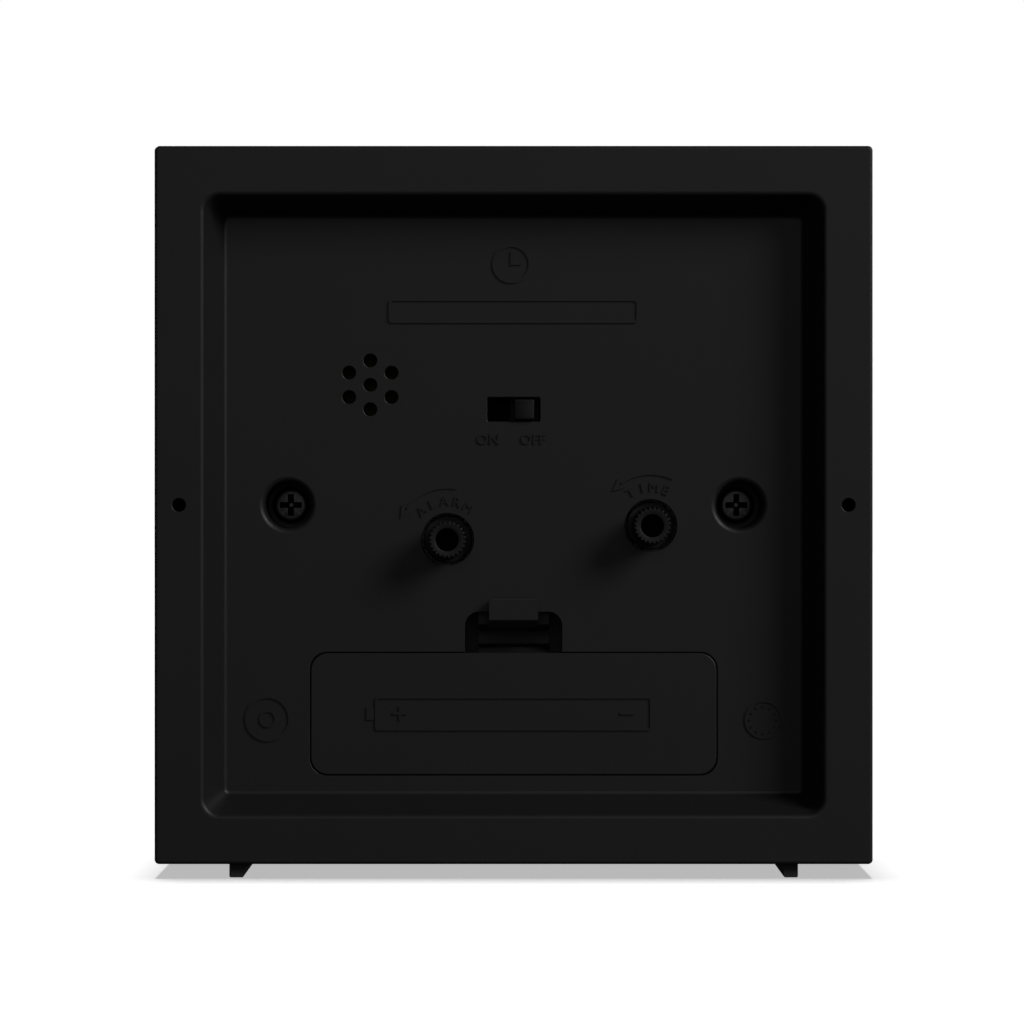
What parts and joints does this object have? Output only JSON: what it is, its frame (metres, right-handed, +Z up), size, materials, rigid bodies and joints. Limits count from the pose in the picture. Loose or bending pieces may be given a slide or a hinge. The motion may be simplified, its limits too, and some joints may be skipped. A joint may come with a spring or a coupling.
{
  "type": "desk alarm clock",
  "caption": "Square black desk alarm clock with a quartz movement, alarm and time setting knobs, alarm switch and latched battery door at the rear.",
  "frame": {"origin": "middle of the footprint, on the surface the feet stand on", "axes": "+Z up, -Y out of the dial, +Y out of the rear panel with the knobs, +X to the right seen from the dial side"},
  "size_m": [0.1, 0.04, 0.102],
  "materials": {
    "black_plastic": "moulded black plastic with a fine matt grain",
    "dial_print": "matt printed dial",
    "clear_lens": "clear window",
    "natural_plastic": "natural acetal",
    "hand_black": "black lacquer",
    "hand_red": "red lacquer",
    "hand_gold": "gold lacquer",
    "screw_black": "blackened steel",
    "bright_steel": "nickel plated",
    "brass": "rolled brass",
    "copper_winding": "enamelled copper wire",
    "board": "solder mask",
    "chip": "moulded resin",
    "magnet": "sintered magnet",
    "cell_wrap": "printed shrink sleeve",
    "wire_red": "wire sleeve",
    "wire_black": "wire sleeve",
    "ceramic": "fired ceramic"
  },
  "bodies": {
    "case": {"battery_cell": "cell_wrap", "battery_contact_negative": "bright_steel", "battery_contact_positive": "bright_steel", "battery_spring_negative": "bright_steel", "case_screw_left": "screw_black", "case_screw_right": "screw_black", "chassis_plate": "black_plastic", "chassis_screw_lower_left": "bright_steel", "chassis_screw_lower_right": "bright_steel", "chassis_screw_upper_left": "bright_steel", "chassis_screw_upper_right": "bright_steel", "circuit_board": "board", "coil_bobbin": "black_plastic", "coil_core": "bright_steel", "coil_winding": "copper_winding", "dial": "dial_print", "dial_nut": "brass", "dial_surround": "black_plastic", "foot_left": "black_plastic", "foot_right": "black_plastic", "front_housing": "black_plastic", "ic_chip": "chip", "lens": "clear_lens", "middle_plate": "natural_plastic", "movement_base": "natural_plastic", "movement_cover": "natural_plastic", "piezo_ceramic": "ceramic", "piezo_disc": "brass", "quartz_crystal": "bright_steel", "rear_cover": "black_plastic", "sounder_wire_black": "wire_black", "sounder_wire_red": "wire_red", "stator": "bright_steel", "switch_body": "black_plastic"},
    "switch": {"switch_slider": "black_plastic"},
    "battery_door": {"battery_door": "black_plastic"},
    "latch": {"battery_door_latch": "black_plastic"},
    "time_setting_knob": {"time_knob": "black_plastic", "time_shaft": "black_plastic"},
    "alarm_setting_knob": {"alarm_knob": "black_plastic", "alarm_shaft": "black_plastic"},
    "alarm": {"alarm_wheel": "natural_plastic", "alarm_hand": "hand_gold"},
    "hour": {"hour_wheel": "natural_plastic", "hour_hand": "hand_black"},
    "minute": {"minute_tube": "brass", "minute_hand": "hand_black"},
    "second": {"second_wheel": "natural_plastic", "second_hand": "hand_red"},
    "minute_train_wheel": {"minute_wheel": "natural_plastic"},
    "centre": {"centre_wheel": "natural_plastic"},
    "third": {"third_wheel": "natural_plastic"},
    "intermediate": {"intermediate_wheel": "natural_plastic"},
    "rotor": {"rotor_pinion": "natural_plastic", "rotor_magnet": "magnet"}
  },
  "joints": [
    {"name": "second_turn", "type": "hinge", "parent": "case", "child": "second", "pos_m": [0, 0, 0.052], "axis": [0, 1, 0], "continuous": true},
    {"name": "intermediate_turn", "type": "hinge", "parent": "case", "child": "intermediate", "pos_m": [-0.0062, 0, 0.05566], "axis": [0, 1, 0], "continuous": true},
    {"name": "rotor_turn", "type": "hinge", "parent": "case", "child": "rotor", "pos_m": [-0.0097, 0, 0.06172], "axis": [0, 1, 0], "continuous": true},
    {"name": "third_turn", "type": "hinge", "parent": "case", "child": "third", "pos_m": [0.0045, 0, 0.05979], "axis": [0, 1, 0], "continuous": true},
    {"name": "centre_turn", "type": "hinge", "parent": "case", "child": "centre", "pos_m": [0, -0.0026, 0.052], "axis": [0, 1, 0], "continuous": true},
    {"name": "minute_turn", "type": "hinge", "parent": "case", "child": "minute", "pos_m": [0, -0.005, 0.052], "axis": [0, 1, 0], "continuous": true},
    {"name": "minute_wheel_turn", "type": "hinge", "parent": "case", "child": "minute_train_wheel", "pos_m": [-0.00837, -0.005, 0.04944], "axis": [0, 1, 0], "continuous": true},
    {"name": "hour_turn", "type": "hinge", "parent": "case", "child": "hour", "pos_m": [0, -0.006, 0.052], "axis": [0, 1, 0], "continuous": true},
    {"name": "time_knob_turn", "type": "hinge", "parent": "case", "child": "time_setting_knob", "pos_m": [-0.0193, 0.015, 0.0491], "axis": [0, 1, 0], "continuous": true},
    {"name": "alarm_turn", "type": "hinge", "parent": "case", "child": "alarm", "pos_m": [0, -0.007, 0.052], "axis": [0, 1, 0], "continuous": true},
    {"name": "alarm_knob_turn", "type": "hinge", "parent": "case", "child": "alarm_setting_knob", "pos_m": [0.0093, 0.015, 0.04715], "axis": [0, 1, 0], "continuous": true},
    {"name": "alarm_switch_slide", "type": "slide", "parent": "case", "child": "switch", "axis": [1, 0, 0], "range_m": [0, 0.0029]},
    {"name": "battery_door_hinge", "type": "hinge", "parent": "case", "child": "battery_door", "pos_m": [0, 0.013, 0.01405], "axis": [-1, 0, 0], "range_deg": [0, 80]},
    {"name": "door_latch_flex", "type": "hinge", "parent": "battery_door", "child": "latch", "pos_m": [0, 0.0056, 0.0348], "axis": [-1, 0, 0], "range_deg": [0, 10], "stiffness_Nm_per_rad": 0.2}
  ],
  "couplings": [
    {"joint": "intermediate_turn", "follows": "second_turn", "ratio": -5},
    {"joint": "rotor_turn", "follows": "second_turn", "ratio": 30},
    {"joint": "third_turn", "follows": "second_turn", "ratio": -0.13333},
    {"joint": "centre_turn", "follows": "second_turn", "ratio": 0.016667},
    {"joint": "minute_wheel_turn", "follows": "minute_turn", "ratio": -0.33333},
    {"joint": "hour_turn", "follows": "minute_turn", "ratio": 0.083333},
    {"joint": "time_knob_turn", "follows": "minute_turn", "ratio": 0.5},
    {"joint": "alarm_knob_turn", "follows": "alarm_turn", "ratio": -2.5}
  ]
}
